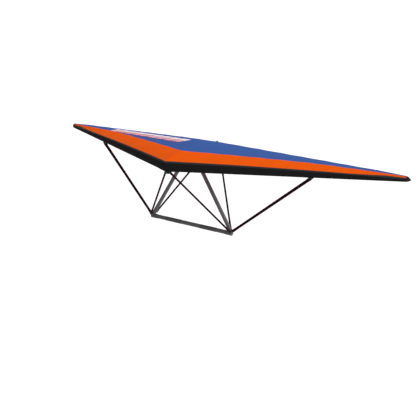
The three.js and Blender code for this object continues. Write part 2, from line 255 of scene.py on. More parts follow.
def add_node(material, kind, settings=None, **inputs):
    """A node with its properties set; an input is a value or a pair (node, output name).
    Input names are written with _ for a space, and in2 means the input at place 2."""
    tree = material.node_tree
    made = tree.nodes.new(kind)
    for key, value in (settings or {}).items():
        setattr(made, key, value)
    for key, value in inputs.items():
        name = key.replace("_", " ").strip()
        numbered = name.startswith("in") and name[2:].isdigit()
        socket = made.inputs[int(name[2:]) if numbered else name]
        if isinstance(value, tuple) and isinstance(value[0], bpy.types.Node):
            tree.links.new(value[0].outputs[value[1]], socket)
        else:
            socket.default_value = value
    return made


def new_material(name, **constants):
    """A material with its Principled shader; constants go straight to the shader's own sockets."""
    material = bpy.data.materials.new(name)
    material.use_nodes = True
    shader = material.node_tree.nodes["Principled BSDF"]
    for key, value in constants.items():
        shader.inputs[key.replace("_", " ")].default_value = value
    return material, shader


def link(material, source, output, target, socket):
    material.node_tree.links.new(source.outputs[output], target.inputs[socket])


# %% [markdown]
# ## Sailcloth
# The sail is woven polyester, filled with resin and ironed flat, which gives it a tight weave, a
# satin skin and a faint square of thicker threads. Pockets of double cloth hold the battens, and
# rows of zigzag thread run along every pocket, seam and hem. The pieces carry their distance from
# batten, seam and hem as attributes, so the thread rows follow the cloth wherever it goes. The
# real thread squares are 5 mm apart, and they are drawn at 15 mm so that they show at all.

# %% Sailcloth material
RIPSTOP_MM = 15.0
THREAD_MM = 4.0
STITCH_MM = 14.0
POCKET_HALF = 0.021


def wave_scale(period_mm):
    """Blender's bands repeat every 2 pi / (20 x scale) metres."""
    return 2 * math.pi / (20 * period_mm / 1000)


def thread_row(material, distance, place_mm):
    """1 inside a row of thread, place_mm away from the line that the attribute measures."""
    away = add_node(material, "ShaderNodeMath", {"operation": "SUBTRACT"},
                    in0=(distance, "Fac"), in1=place_mm / 1000)
    size = add_node(material, "ShaderNodeMath", {"operation": "ABSOLUTE"}, in0=(away, 0))
    return add_node(material, "ShaderNodeMath", {"operation": "LESS_THAN"},
                    in0=(size, 0), in1=THREAD_MM / 2000)


def sailcloth(name, cloth, pocket, thread, roughness):
    material, shader = new_material(name, Roughness=roughness, Specular_IOR_Level=0.02, IOR=1.5)
    plan = add_node(material, "ShaderNodeUVMap", {"uv_map": "UVMap"})
    batten = add_node(material, "ShaderNodeAttribute", {"attribute_name": "from_batten"})
    seam = add_node(material, "ShaderNodeAttribute", {"attribute_name": "from_seam"})
    hem = add_node(material, "ShaderNodeAttribute", {"attribute_name": "from_hem"})
    double = add_node(material, "ShaderNodeMapRange", {}, Value=(batten, "Fac"), From_Min=POCKET_HALF,
                      From_Max=POCKET_HALF + 0.003, To_Min=1.0, To_Max=0.0)
    rows = add_node(material, "ShaderNodeMath", {"operation": "MAXIMUM"},
                    in0=(thread_row(material, batten, 17), 0), in1=(thread_row(material, seam, 8), 0))
    more = add_node(material, "ShaderNodeMath", {"operation": "MAXIMUM"},
                    in0=(thread_row(material, seam, 22), 0), in1=(thread_row(material, hem, 22), 0))
    all_rows = add_node(material, "ShaderNodeMath", {"operation": "MAXIMUM"}, in0=(rows, 0), in1=(more, 0))
    zigzag = add_node(material, "ShaderNodeTexWave", {"bands_direction": "DIAGONAL"},
                      Vector=(plan, "UV"), Scale=wave_scale(STITCH_MM))
    dashes = add_node(material, "ShaderNodeMath", {"operation": "GREATER_THAN"},
                      in0=(zigzag, "Fac"), in1=0.4)
    stitches = add_node(material, "ShaderNodeMath", {"operation": "MULTIPLY"},
                        in0=(all_rows, 0), in1=(dashes, 0))
    cloudy = add_node(material, "ShaderNodeTexNoise", {}, Vector=(plan, "UV"), Scale=3.0, Detail=4.0)
    tone = add_node(material, "ShaderNodeMapRange", {}, Value=(cloudy, "Fac"), From_Min=0.3, From_Max=0.7,
                    To_Min=0.0, To_Max=0.5)
    base = add_node(material, "ShaderNodeMix", {"data_type": "RGBA"}, Factor=(tone, 0),
                    in6=linear(cloth), in7=linear(pocket))
    doubled = add_node(material, "ShaderNodeMath", {"operation": "MULTIPLY"}, in0=(double, 0), in1=0.5)
    pocketed = add_node(material, "ShaderNodeMix", {"data_type": "RGBA"}, Factor=(doubled, 0),
                        in6=(base, 2), in7=linear(pocket))
    stitched = add_node(material, "ShaderNodeMix", {"data_type": "RGBA"}, Factor=(stitches, 0),
                        in6=(pocketed, 2), in7=linear(thread))
    link(material, stitched, 2, shader, "Base Color")
    across = add_node(material, "ShaderNodeTexWave", {"bands_direction": "X"}, Vector=(plan, "UV"),
                      Scale=wave_scale(RIPSTOP_MM))
    down = add_node(material, "ShaderNodeTexWave", {"bands_direction": "Y"}, Vector=(plan, "UV"),
                    Scale=wave_scale(RIPSTOP_MM))
    grid = add_node(material, "ShaderNodeMath", {"operation": "MAXIMUM"},
                    in0=(across, "Fac"), in1=(down, "Fac"))
    thick = add_node(material, "ShaderNodeMath", {"operation": "POWER"}, in0=(grid, 0), in1=8.0)
    relief = add_node(material, "ShaderNodeMath", {"operation": "MULTIPLY_ADD"}, in0=(thick, 0), in1=0.12,
                      in2=(double, 0))
    height = add_node(material, "ShaderNodeMath", {"operation": "ADD"}, in0=(relief, 0), in1=(stitches, 0))
    bump = add_node(material, "ShaderNodeBump", {}, Strength=0.35, Distance=0.001, Height=(height, 0))
    link(material, bump, "Normal", shader, "Normal")
    return material


orange_sailcloth = sailcloth("orange_woven_sailcloth", "#eb5903", "#e05303", "#e5620f", 0.8)
blue_sailcloth = sailcloth("blue_woven_sailcloth", "#3a5b9f", "#365797", "#4668a9", 0.75)
black_sailcloth = sailcloth("black_laminated_sailcloth", "#1e1e1e", "#1b1b1b", "#252526", 0.85)
white_sailcloth = sailcloth("white_applique_sailcloth", "#f3e3e6", "#e9d3d8", "#ffffff", 0.75)
pink_sailcloth = sailcloth("pink_applique_sailcloth", "#e8a9b1", "#df9aa4", "#f6ccd2", 0.75)
red_sailcloth = sailcloth("red_applique_sailcloth", "#a3203a", "#951b34", "#c9586c", 0.75)

# %% [markdown]
# ## Anodised and plain metals, plastics and wire coating
# The tubes are drawn aluminium with an anodised skin: even colour, a fine lengthwise grain and a
# satin shine. Fittings are milled from the same alloy or cut from stainless plate, which shows a
# finer grain and small rubbed patches on its edges. Tip caps are moulded nylon with a pebbled
# skin, and the wires wear a dark plum coating. Grain is a noise squeezed 40 to 1 along the tube.

# %% Metal, plastic and coating materials
def grained(name, colour, worn, metallic, roughness, grain_mm, stretch, relief, gloss=0.15):
    """Two tones mixed by a squeezed noise; roughness varies with it and a bump gives the grain."""
    material, shader = new_material(name, Metallic=metallic, Specular_IOR_Level=gloss)
    place = add_node(material, "ShaderNodeTexCoord")
    squeezed = add_node(material, "ShaderNodeMapping", {}, Vector=(place, "Object"), Scale=stretch)
    grain = add_node(material, "ShaderNodeTexNoise", {}, Vector=(squeezed, 0),
                     Scale=1000 / grain_mm, Detail=3.0)
    patches = add_node(material, "ShaderNodeTexNoise", {}, Vector=(place, "Object"), Scale=12.0, Detail=5.0)
    rubbed = add_node(material, "ShaderNodeMapRange", {}, Value=(patches, "Fac"), From_Min=0.5, From_Max=0.75,
                      To_Min=0.0, To_Max=0.6)
    colours = add_node(material, "ShaderNodeMix", {"data_type": "RGBA"}, Factor=(rubbed, 0),
                       in6=linear(colour), in7=linear(worn))
    link(material, colours, 2, shader, "Base Color")
    spread = add_node(material, "ShaderNodeMapRange", {}, Value=(grain, "Fac"), From_Min=0.2, From_Max=0.8,
                      To_Min=roughness - 0.07, To_Max=roughness + 0.07)
    link(material, spread, 0, shader, "Roughness")
    bump = add_node(material, "ShaderNodeBump", {}, Strength=relief, Distance=0.0005, Height=(grain, "Fac"))
    link(material, bump, "Normal", shader, "Normal")
    return material


ALONG_KEEL = (1.0, 0.08, 0.08)
EVEN = (1.0, 1.0, 1.0)
green_anodised = grained("green_anodised_tube", "#0b6b39", "#0a5f32", 0.55, 0.38, 3, ALONG_KEEL, 0.15)
grey_anodised = grained("grey_anodised_upright", "#5c5d5c", "#545555", 0.0, 0.4, 3, ALONG_KEEL, 0.15, 0.3)
dark_anodised = grained("dark_anodised_alloy", "#606161", "#595a5a", 0.0, 0.55, 3, (0.08, 1.0, 1.0), 0.15)
stainless = grained("stainless_plate", "#8b8e93", "#a3a6aa", 0.95, 0.33, 2, EVEN, 0.12)
dark_stainless = grained("darkened_stainless", "#4e4e50", "#5d5d60", 0.4, 0.5, 2, EVEN, 0.12)
wire_coating = grained("plum_wire_coating", "#26091a", "#1f0714", 0.0, 0.65, 4, EVEN, 0.1, 0.03)
dark_ferrule = grained("dark_swaged_ferrule", "#24141c", "#2e2028", 0.1, 0.5, 3, EVEN, 0.12, 0.05)
moulded_nylon = grained("black_moulded_nylon", "#1c1c1d", "#29292a", 0.0, 0.55, 2, EVEN, 0.3)
grip_rubber = grained("grey_grip_rubber", "#545556", "#4d4e4f", 0.0, 0.7, 2, EVEN, 0.35)
# The seam tape's dark grey is lighter than the black cloth, and is partly a painted highlight along the top of the
# leading edge.
edge_tape_with_highlight = grained("grey_seam_tape", "#2b2d2e", "#252728", 0.0, 0.7, 3, EVEN, 0.2)
print("materials:", len(bpy.data.materials))

# %% [markdown]
# ## The sail's surface
# A flex wing's sail is stretched over battens that run fore and aft. Each batten lifts the cloth
# by a few millimetres, and between two battens the cloth billows. The surface is one formula of
# span x and chord y: a straight line from leading-edge seam to trailing edge, plus a parabola for
# camber, plus a raised cosine along each batten, plus a squared sine between battens. It could be
# sculpted or simulated, but the formula keeps both halves alike and true to the model's box.

# %% Surface formulas
BATTEN_SPACING = 0.44
BATTEN_FIRST = 0.22
BATTENS = 8
BATTEN_HEIGHT = 0.003
BILLOW = 0.006
HEM_SCALLOP = 0.010


def smooth_step(value):
    t = np.clip(value, 0, 1)
    return t * t * (3 - 2 * t)


def lead_y(x):
    return SWEEP * x


def lead_top(x):
    """Falls with span, plus a parabola that bows up between nose and tip."""
    return -TOP_DROOP * x + TOP_BOW * 4 * (x / HALF_SPAN) * (1 - x / HALF_SPAN)


def lead_bottom(x):
    return -NOSE_DEPTH - BOTTOM_DROOP * x


def lead_depth(x):
    return lead_top(x) - lead_bottom(x)


def batten_phase(x):
    """Position between two battens, 0 or 1 at a batten and 0.5 half way."""
    return np.clip((x - BATTEN_FIRST) / BATTEN_SPACING, -0.5, BATTENS - 1) % 1


def from_batten(x):
    """Distance across the span to the nearest batten's centre."""
    nearest = np.clip(np.round((x - BATTEN_FIRST) / BATTEN_SPACING), 0, BATTENS - 1)
    return np.abs(x - (BATTEN_FIRST + BATTEN_SPACING * nearest))


def trail_y(x):
    """A straight edge, cut back on the centreline and scalloped between the batten ends."""
    straight = ROOT_CHORD + ROOT_SCALLOP * smooth_step(x / SCALLOP_WIDTH) + TRAIL_SLOPE * x
    return straight - HEM_SCALLOP * np.sin(np.pi * batten_phase(x)) ** 2 * smooth_step((3.6 - x) / 0.6)


def trail_z(x):
    near_tip = smooth_step((x - TIP_DROOP_START) / (HALF_SPAN - TIP_DROOP_START))
    return -0.006 - TRAIL_DROOP * x - TIP_DROOP * near_tip


def seam_y(x):
    """A straight line that eases to a lower slope, and never passes 0.78 of the chord."""
    past = (x - SEAM_STRAIGHT + np.hypot(x - SEAM_STRAIGHT, SEAM_EASE)) / 2
    free = SEAM_ROOT + SEAM_SLOPE * x - SEAM_BEND * past
    straight_edge = ROOT_CHORD + ROOT_SCALLOP * smooth_step(x / SCALLOP_WIDTH) + TRAIL_SLOPE * x
    return np.minimum(free, lead_y(x) + SEAM_LIMIT * (straight_edge - lead_y(x)))


def top_z(x, y):
    """Chord line, camber parabola, batten ridges and billow, which both fade at the two edges."""
    chord = trail_y(x) - lead_y(x)
    t = np.clip((y - lead_y(x)) / chord, 0, 1)
    line = lead_top(x) + (trail_z(x) - lead_top(x)) * t
    camber = CAMBER * chord * 4 * t * (1 - t)
    edges = smooth_step(t / 0.06) * smooth_step((1 - t) / 0.04)
    ridge = BATTEN_HEIGHT * (0.5 + 0.5 * np.cos(np.pi * np.clip(from_batten(x) / 0.024, 0, 1)))
    billow = BILLOW * np.sin(np.pi * batten_phase(x)) ** 2 * 4 * t * (1 - t)
    fade = smooth_step((3.75 - x) / 0.4)
    return line + camber + (ridge * edges + billow) * fade


def lower_seam_y(x):
    return lead_y(x) + lead_depth(x) * (0.08 + 0.42 * smooth_step((HALF_SPAN - x) / 1.3))


def lower_seam_z(x):
    return lead_bottom(x) + 0.02 * lead_depth(x)


def bottom_z(x, y):
    """Straight from the leading edge's lower seam to the trailing edge, drawn in over the ribs."""
    t = np.clip((y - lower_seam_y(x)) / (trail_y(x) - lower_seam_y(x)), 0, 1)
    line = lower_seam_z(x) + (trail_z(x) - 0.004 - lower_seam_z(x)) * t
    return line + 0.003 * np.sin(np.pi * batten_phase(x)) ** 2 * 4 * t * (1 - t)


def span_stations():
    """Every 30 mm along the span, closer together across each batten's ridge."""
    coarse = np.arange(0, HALF_SPAN - CAP_LENGTH, 0.03)
    ridges = BATTEN_FIRST + BATTEN_SPACING * np.arange(BATTENS)
    close = (ridges[:, None] + np.array([-24, -18, -12, -6, 0, 6, 12, 18, 24]) / 1000).ravel()
    both = np.unique(np.round(np.concatenate([coarse, close]), 4))
    kept = both[np.concatenate([[True], np.diff(both) > 0.004])]
    return np.concatenate([[GAP / 2], kept[1:], [HALF_SPAN - CAP_LENGTH]])


stations = span_stations()
print("stations along each half:", len(stations))

# %% [markdown]
# ## Front and rear panels
# The orange front cloth and the blue rear cloth meet along a curved seam. Each panel is a closed
# skin: its loop runs aft over the top and forward underneath, once for every station of the span.
# Plan coordinates in metres go to the UV map, so the weave keeps its real size.

# %% Panels
def panel_loops(front_top, front_bottom, rear, top_count, bottom_count):
    """Loops of (x, y, z): the top from front to rear, then the underside from rear to front."""
    x = stations[:, None]
    t = 0.5 - 0.5 * np.cos(np.pi * np.linspace(0, 1, top_count))[None, :]
    y_top = front_top[:, None] + (rear - front_top)[:, None] * t
    s = np.linspace(1, 0, bottom_count)[None, :]
    y_low = front_bottom[:, None] + (rear - front_bottom)[:, None] * s
    top = np.stack(np.broadcast_arrays(x, y_top, top_z(x, y_top)), axis=-1)
    low = np.stack(np.broadcast_arrays(x, y_low, bottom_z(x, y_low)), axis=-1)
    return np.concatenate([top, low], axis=1)


def cloth_values(loops):
    """Distances that the thread rows follow: from the nearest batten, the colour seam and the hem."""
    x, y = loops[..., 0], loops[..., 1]
    return {"from_batten": from_batten(x), "from_seam": np.abs(y - seam_y(x)), "from_hem": trail_y(x) - y}


def add_cloth(name, loops, side, material, replaced=(), body="wing"):
    points, faces = shell(mirror_x(loops, side))
    plan = loops.reshape(-1, 3)[:, :2] * np.array([side, 1])
    values = {key: value.ravel() for key, value in cloth_values(loops).items()}
    piece = add_mesh(name, park(points), faces, body, material, uv=plan, values=values)
    if replaced:
        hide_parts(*replaced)
    return piece


for name, side in SIDES.items():
    front = panel_loops(lead_y(stations) + GAP, lower_seam_y(stations) + GAP,
                        seam_y(stations) - GAP / 2, 18, 8)
    add_cloth(f"{name}_front_sail", front, side, orange_sailcloth, [f"{name}_front_panel"])
    edge = seam_y(stations) + GAP / 2
    rear = panel_loops(edge, edge, trail_y(stations), 20, 10)
    add_cloth(f"{name}_rear_sail", rear, side, blue_sailcloth, [f"{name}_rear_panel"])
print("sail panels made")

# %% [markdown]
# ## Leading edge
# Black laminated cloth wraps the front of the wing, from the upper seam round the nose radius to a
# lower seam. Its section is half a flattened ellipse followed by a short flat. A dark grey tape
# covers the upper seam, and its grey is also a painted highlight along the top of the leading edge.
# It follows the first part of the same ellipse, 1.5 mm proud, and laps on to the panel behind, by
# more near the tip, so the painted highlight widens there.

# %% Leading edge, seam tape with its painted highlight, and tip caps
LEAD_BULGE = 0.17
LEAD_REAR = 0.06
TAPE_ANGLE = 0.75
TAPE_THICK = 0.0015
TAPED_HIGHLIGHT_REACH = 0.008
TAPED_HIGHLIGHT_GROWTH = 0.040
TAPED_HIGHLIGHT_GROWS_FROM = 2.9
TIP_REACH = 0.030


def lead_curve(x, angle, proud=0.0):
    """Half ellipse: forward by the sine and down by the cosine of the angle, pushed out by proud."""
    depth = lead_depth(x)
    middle = (lead_top(x) + lead_bottom(x)) / 2
    y = lead_y(x) - (LEAD_BULGE * depth + proud) * np.sin(angle) + LEAD_REAR * depth * angle / np.pi
    z = middle + (depth / 2 + proud) * np.cos(angle)
    return np.stack(np.broadcast_arrays(x, y, z), axis=-1)


def taped_highlight_width(x):
    """Reach of the tape and its painted highlight aft of the seam: 8 mm, then 40 mm more by the tip, but at most a
    quarter of the chord.
    """
    reach = TAPED_HIGHLIGHT_REACH + TAPED_HIGHLIGHT_GROWTH * smooth_step((x - TAPED_HIGHLIGHT_GROWS_FROM) / 1.0)
    return np.minimum(reach, 0.25 * (trail_y(x) - lead_y(x)))


def lead_loops():
    x = stations[:, None]
    curve = lead_curve(x, np.linspace(0, np.pi, 28)[None, :])
    t = np.linspace(0, 1, 7)[None, 1:, None]
    seam = np.stack([stations, lower_seam_y(stations), lower_seam_z(stations)], axis=-1)[:, None, :]
    flat = curve[:, -1:, :] * (1 - t) + seam * t
    return np.concatenate([curve, flat], axis=1)


def taped_highlight_loops():
    """From the aft edge over the panel to the seam, then down the ellipse; the way back is below."""
    x = stations[:, None]
    y = lead_y(x) + taped_highlight_width(x) * np.linspace(1, 0.1, 8)[None, :]
    angles = TAPE_ANGLE * np.linspace(0, 1, 9)[None, :]
    outer, inner = [
        np.concatenate([np.stack(np.broadcast_arrays(x, y, top_z(x, y) + proud), axis=-1),
                        lead_curve(x, angles, proud)], axis=1)
        for proud in (TAPE_THICK, -TAPE_THICK)]
    return np.concatenate([outer, inner[:, ::-1]], axis=1)


def cap_loops():
    """The wing's end section, drawn in towards the tip point as 1 - 0.97 t to the power 1.6."""
    root = HALF_SPAN - CAP_LENGTH
    curve = lead_curve(np.array(root), np.linspace(0, np.pi, 20))
    tail = np.array([[root, trail_y(root), trail_z(root) - 0.006], [root, trail_y(root), trail_z(root)]])
    outline = np.concatenate([curve, tail])
    tip = np.array([0, lead_y(HALF_SPAN + TIP_REACH), lead_top(HALF_SPAN) - 0.40 * lead_depth(HALF_SPAN)])
    t = np.linspace(0, 1, 16)
    share = (1 - 0.97 * t ** 1.6)[:, None, None]
    flat = tip + (outline - tip)[None, :, :] * share
    flat[..., 0] = (root + GAP + (CAP_LENGTH + TIP_REACH - GAP) * t)[:, None]
    return flat


for name, side in SIDES.items():
    add_cloth(f"{name}_leading_edge_cloth", lead_loops(), side, black_sailcloth,
              [f"{name}_leading_edge"])
    # The grey seam tape also stands in for the light on the leading edge's top: a painted highlight.
    points, faces = shell(mirror_x(taped_highlight_loops(), side))
    add_mesh(f"{name}_seam_tape", park(points), faces, "wing", edge_tape_with_highlight)
    points, faces = shell(mirror_x(cap_loops(), side))
    cap = add_mesh(f"{name}_tip_cap_moulding", park(points), faces, "wing", moulded_nylon)
    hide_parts(f"{name}_tip_cap")
print("leading edges made")

# %% [markdown]
# ## Nose cover
# Where the two leading edges meet, a piece of the same black cloth is laced over the mitre so that
# the wind doesn't get in. It could be modelled as a strip shrunk on to the wing. Here the section
# of the leading edge is carried round a soft corner instead, because the cover then follows the
# wing exactly: |x| becomes the root of x squared plus the corner radius squared.

# %% Nose cover
COVER_HALF = 0.19
COVER_CORNER = 0.012


def cover_loops():
    x = COVER_HALF * np.linspace(-1, 1, 61)[:, None]
    soft = np.sqrt(x ** 2 + COVER_CORNER ** 2) - COVER_CORNER
    angles = np.linspace(TAPE_ANGLE + 0.04, np.pi, 30)[None, :]
    outer = lead_curve(soft, angles, 0.003)
    inner = lead_curve(soft, angles[:, ::-1], -0.002)
    loops = np.concatenate([outer, inner], axis=1)
    loops[..., 0] = x
    return loops


cover = cover_loops()
points, faces = shell(cover)
nose_values = {"from_batten": np.ones(len(points)), "from_hem": np.ones(len(points)),
               "from_seam": (COVER_HALF - np.abs(points[:, 0]))}
add_mesh("nose_cover", park(points), faces, "wing", black_sailcloth,
         uv=points[:, [0, 2]], values=nose_values)
print("nose cover points:", len(points))

# %% [markdown]
# ## Painted flash
# One rear panel carries a decoration. It is a plain row of slanted lozenges in pale and pink cloth,
# each over a red one set a little off, like a shadow. They could be painted in the material. Real
# ones are cut from sticky sailcloth, so each is a skin 0.6 mm thick that lies on the sail's formula.

# %% Painted flash
FLASH_SIDE = -1
FLASH_STARTS = 0.36 + 0.24 * np.arange(9)
FLASH_WIDTH = 0.21
FLASH_SLANT = -0.12


def flash_patch(start, low, high, shift, lift):
    """Plan point: x = start + width u + slant v, y between two slanting lines by v; u, v in 0 to 1."""
    u = np.linspace(0, 1, 24)[:, None]
    v = np.linspace(0, 1, 12)[None, :]
    v = low + (high - low) * v
    x = start + shift + FLASH_WIDTH * u + FLASH_SLANT * (v - 0.5)
    y = (1.06 + 0.21 * x) * (1 - v) + (1.40 + 0.155 * x) * v - shift
    y = np.maximum(y, seam_y(x) + 0.006)
    upper = np.stack(np.broadcast_arrays(x, y, top_z(x, y) + lift), axis=-1)
    under = np.stack(np.broadcast_arrays(x, y, top_z(x, y) + lift - 0.0006), axis=-1)
    return shell(mirror_x(np.concatenate([upper, under[:, ::-1]], axis=1), FLASH_SIDE))


def add_flash(name, patches, material):
    points, faces = joined_shells(patches)
    far = {key: np.ones(len(points)) for key in ("from_batten", "from_seam", "from_hem")}
    add_mesh(name, park(points), faces, "wing", material, uv=points[:, :2], values=far)


add_flash("flash_shadow", [flash_patch(x, 0.0, 1.0, 0.020, 0.0010) for x in FLASH_STARTS], red_sailcloth)
add_flash("flash_pale", [flash_patch(x, 0.50, 1.0, 0.0, 0.0017) for x in FLASH_STARTS], white_sailcloth)
add_flash("flash_pink", [flash_patch(x, 0.0, 0.46, 0.0, 0.0017) for x in FLASH_STARTS], pink_sailcloth)
print("lozenges:", len(FLASH_STARTS))

# %% [markdown]
# ## Bars, turned pieces and bolts
# Tubes, ferrules and bolts are a flat outline carried along a straight line, with its size changing
# on the way. A turned piece is a circle carried so. The outline's own axes are the line, the chord
# direction made square to it, and their cross product. Small chamfers are rows in the profile, so
# they need no modifier.

# %% Bar helpers
def bar_axes(start, end, chord):
    along = (end - start) / np.linalg.norm(end - start)
    wide = chord - along * (chord @ along)
    wide = wide / np.linalg.norm(wide)
    return along, wide, np.cross(along, wide)


def carried(outlines, places, start, end, chord):
    """start + place times along + outline's first number times wide + its second times thick."""
    along, wide, thick = bar_axes(start, end, chord)
    return (start + np.asarray(places)[:, None, None] * along
            + outlines[..., :1] * wide + outlines[..., 1:] * thick)


def oval(width, height, count=64):
    """Half the width times the cosine, half the height times the sine of the angle."""
    angle = np.linspace(0, 2 * np.pi, count, endpoint=False)
    return np.stack([width / 2 * np.cos(angle), height / 2 * np.sin(angle)], axis=-1)


def round_bar(width, height, start, end, chord, edge=0.002, rows=12):
    """An oval bar whose ends are rounded by a quarter circle of the edge radius."""
    length = np.linalg.norm(end - start)
    turn = np.linspace(0, np.pi / 2, 5)
    into = edge * (1 - np.sin(turn))
    places = np.concatenate([edge - edge * np.cos(turn), np.linspace(edge, length - edge, rows)[1:-1],
                             (length - edge + edge * np.cos(turn))[::-1]])
    shrink = np.concatenate([into, np.zeros(rows - 2), into[::-1]])
    scale = 1 - 2 * shrink[:, None, None] / np.array([width, height])
    return shell(carried(oval(width, height)[None] * scale, places, start, end, chord))


def turned(profile, start, end, count=40):
    """Circles of each radius in the profile at each height along the line from start to end."""
    profile = np.asarray(profile, float)
    along = (end - start) / np.linalg.norm(end - start)
    chord = np.array([1.0, 0, 0]) if abs(along[0]) < 0.8 else AFT
    circles = oval(2, 2, count)[None] * profile[:, 0][:, None, None]
    return shell(carried(circles, profile[:, 1], start, end, chord))


def bolt(place, axis, radius):
    """A washer and a six-sided head with a chamfered top, stacked along the axis."""
    place, axis = np.asarray(place, float), np.asarray(axis, float)
    end = place + axis
    washer = turned([[radius * 1.9, 0], [radius * 2.0, 0.0004], [radius * 2.0, 0.0014],
                     [radius * 1.9, 0.0018]], place, end, 24)
    head = turned([[radius * 1.6, 0.0018], [radius * 1.6, 0.0018 + radius * 0.9],
                   [radius * 1.35, 0.0018 + radius * 1.15]], place, end, 6)
    return joined_shells([washer, head])


def at_side(point, side):
    return np.array([side * point[0], point[1], point[2]])


def keel_point(y):
    return KEEL_START + KEEL_DIRECTION * (y - KEEL_START[1]) / KEEL_DIRECTION[1]


def add_bar(name, part, body, material, replaced=(), sharp=40.0):
    points, faces = part
    piece = add_mesh(name, park(points), faces, body, material, sharp=sharp)
    if replaced:
        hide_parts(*replaced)
    return piece


# %% [markdown]
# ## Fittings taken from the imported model
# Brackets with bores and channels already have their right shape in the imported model. Its meshes
# are loose triangles, so a copy has its doubles merged and its flat faces made whole again, and a
# Bevel modifier rounds the edges by a millimetre, as a deburred plate has them.

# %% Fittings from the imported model
def refined(name, node, material, edge_mm, body="wing"):
    mesh = frame["nodes"][node].data.copy()
    mesh.name = name
    work = bmesh.new()
    work.from_mesh(mesh)
    bmesh.ops.remove_doubles(work, verts=work.verts, dist=1e-5)
    bmesh.ops.dissolve_limit(work, angle_limit=math.radians(1), verts=work.verts, edges=work.edges)
    bmesh.ops.recalc_face_normals(work, faces=work.faces)
    work.to_mesh(mesh)
    work.free()
    mesh.shade_smooth()
    mesh.set_sharp_from_angle(angle=math.radians(35))
    mesh.materials.clear()
    mesh.materials.append(material)
    piece = bpy.data.objects.new(name, mesh)
    bpy.context.scene.collection.objects.link(piece)
    edge = piece.modifiers.new("deburred edges", "BEVEL")
    edge.width = edge_mm / 1000
    edge.segments = 2
    edge.limit_method = "ANGLE"
    edge.angle_limit = math.radians(50)
    edge.harden_normals = True
    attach(piece, body)
    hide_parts(node)
    pieces_made.append(name)
    return piece


refined("nose_plate_bent", "nose_plate", stainless, 1.0)
refined("nose_catch_channel", "nose_catch", stainless, 1.0)
refined("rear_stay_channel", "rear_stay_bracket", stainless, 1.0)
refined("apex_block", "apex_bracket", dark_anodised, 1.5)
for name, side in SIDES.items():
    refined(f"{name}_side_tang_plate", f"{name}_side_tang", stainless, 1.0)
print("fittings refined")

# %% [markdown]
# ## Keel
# The keel is a drawn alloy tube, anodised green, with a turned plug in each end. Behind the control
# frame it hangs from the sail in a pocket of blue cloth: a strip that goes round the tube, with both
# of its edges sewn to the sail above.

# %% Keel, plugs and pocket
POCKET_START = 1.12
POCKET_END = 1.54


def plug_profile():
    """A flange with a rounded rim, drawn as a quarter circle of 4 mm."""
    turn = np.linspace(0, np.pi / 2, 7)
    rim = np.stack([KEEL_RADIUS - 0.004 + 0.004 * np.sin(turn), 0.004 - 0.004 * np.cos(turn)], axis=-1)
    return np.concatenate([rim, [[KEEL_RADIUS, 0.008]]])


keel_length = np.linalg.norm(KEEL_END - KEEL_START)
add_bar("keel_spar", turned([[KEEL_RADIUS, 0], [KEEL_RADIUS, keel_length / 2], [KEEL_RADIUS, keel_length]],
                            KEEL_START, KEEL_END, 56), "wing", green_anodised, ["keel_tube"])
front_face = KEEL_START - KEEL_DIRECTION * 0.0083
rear_face = KEEL_END + KEEL_DIRECTION * 0.0083
add_bar("keel_front_plug", turned(plug_profile(), front_face, KEEL_END), "wing",
        green_anodised, ["keel_front_cap"])
add_bar("keel_rear_plug", turned(plug_profile(), rear_face, KEEL_START), "wing",
        green_anodised, ["keel_rear_cap"])


def pocket_loops():
    """Across the keel the strip runs down one side, round under the tube and up the other side."""
    y = np.linspace(POCKET_START, POCKET_END, 15)[:, None]
    centre = KEEL_START[2] + (y - KEEL_START[1]) * KEEL_DIRECTION[2] / KEEL_DIRECTION[1]
    top = bottom_z(np.zeros_like(y), y) - 0.0012
    angle = np.linspace(0.15 * np.pi, 1.85 * np.pi, 30)[None, :]

    def strip(radius, half_web):
        x = radius * np.sin(angle)
        z = centre + radius * np.cos(angle)
        web_x = np.stack([np.full_like(y, half_web)[:, 0], np.full_like(y, half_web * 1.3)[:, 0]], axis=1)
        web_z = np.concatenate([top, (top + centre + radius) / 2], axis=1)
        all_x = np.concatenate([web_x, np.broadcast_to(x, z.shape), -web_x[:, ::-1]], axis=1)
        all_z = np.concatenate([web_z, z, web_z[:, ::-1]], axis=1)
        return np.stack(np.broadcast_arrays(all_x, y, all_z), axis=-1)

    return np.concatenate([strip(KEEL_RADIUS + 0.0032, 0.0042), strip(KEEL_RADIUS + 0.0008, 0.0018)[:, ::-1]],
                          axis=1)


points, faces = shell(pocket_loops())
near_edge = np.minimum(points[:, 1] - POCKET_START, POCKET_END - points[:, 1])
pocket = add_mesh("keel_pocket_cloth", park(points), faces, "wing", blue_sailcloth,
                  uv=points[:, [1, 2]],
                  values={"from_batten": np.ones(len(points)), "from_seam": near_edge,
                          "from_hem": np.ones(len(points))})
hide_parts("keel_pocket")


def stay_pin(centre, half):
    """A turned pin across the keel's channel, with a chamfered head at each end for a stay's eye."""
    start = centre - np.array([half, 0, 0])
    return turned([[0.0085, 0], [0.010, 0.0015], [0.010, 0.006], [0.006, 0.007], [0.006, 2 * half - 0.007],
                   [0.010, 2 * half - 0.006], [0.010, 2 * half - 0.0015], [0.0085, 2 * half]],
                  start, centre, 28)


nose_pin = stay_pin(keel_point(KEEL_START[1] + 0.045) + np.array([0, 0, -0.002]), 0.068)
tail_pin = stay_pin(keel_point(KEEL_END[1] - 0.040) + np.array([0, 0, -0.002]), 0.058)
add_bar("keel_stay_pins", joined_shells([nose_pin, tail_pin]), "wing", stainless)
print("keel length:", round(float(keel_length), 3))

# %% [markdown]
# ## Batten tips
# Each batten pushes a small moulded tip out of its pocket at the trailing edge, with a cord to
# tension it. The tips are turned pins, all computed in one call for each half of the wing.

